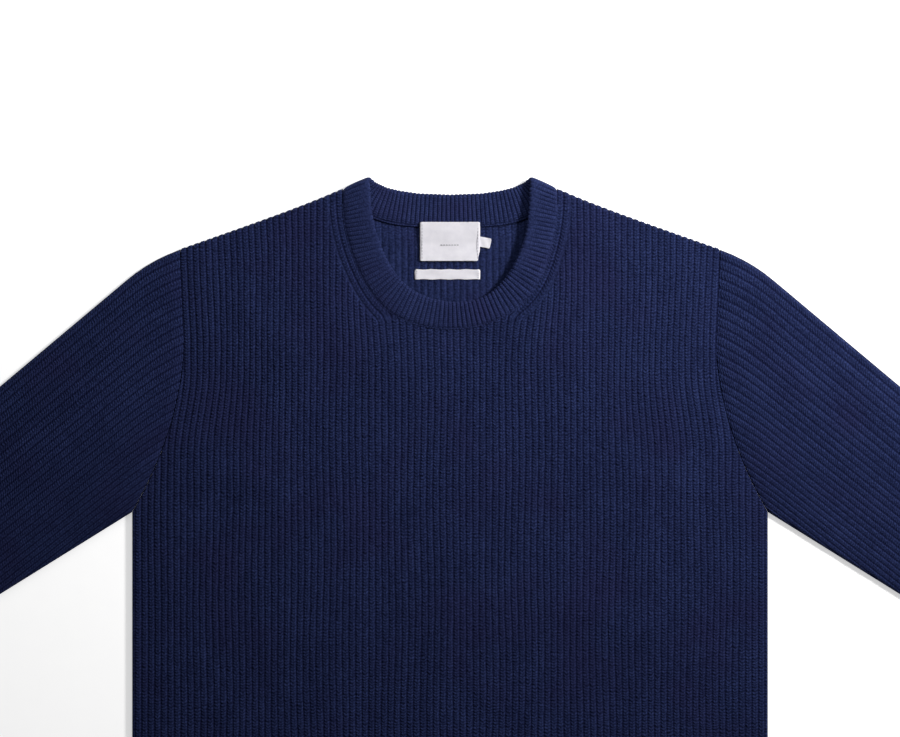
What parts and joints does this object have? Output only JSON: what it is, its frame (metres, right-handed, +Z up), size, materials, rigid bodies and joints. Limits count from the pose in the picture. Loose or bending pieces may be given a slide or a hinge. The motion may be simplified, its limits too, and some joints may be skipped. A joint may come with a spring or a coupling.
{
  "type": "crewneck sweater",
  "caption": "Long-sleeved ribbed wool crewneck sweater lying flat, front up, with a doubled ribbed collar, ribbed hem and cuffs, and blank labels inside the neck.",
  "frame": {"origin": "middle of the whole garment in plan, on the surface it lies on", "axes": "+X towards the wearer's left sleeve, +Y towards the neck, +Z up from the surface; the front lies uppermost"},
  "size_m": [1.5012, 0.6988, 0.0131],
  "materials": {
    "body_knit": "matt navy wool, chunky rib knit with upright ribs 5.7 mm apart",
    "rib_knit": "matt navy wool, fine rib knit with ribs 3.8 mm apart",
    "woven_label": "smooth pale woven tape, blank"
  },
  "bodies": {
    "root": {"front_panel": "body_knit", "back_panel": "body_knit", "left_sleeve": "body_knit", "right_sleeve": "body_knit", "collar": "rib_knit", "front_hem": "rib_knit", "back_hem": "rib_knit", "left_cuff": "rib_knit", "right_cuff": "rib_knit", "neck_label": "woven_label", "size_tab": "woven_label", "care_strip": "woven_label"}
  },
  "joints": []
}
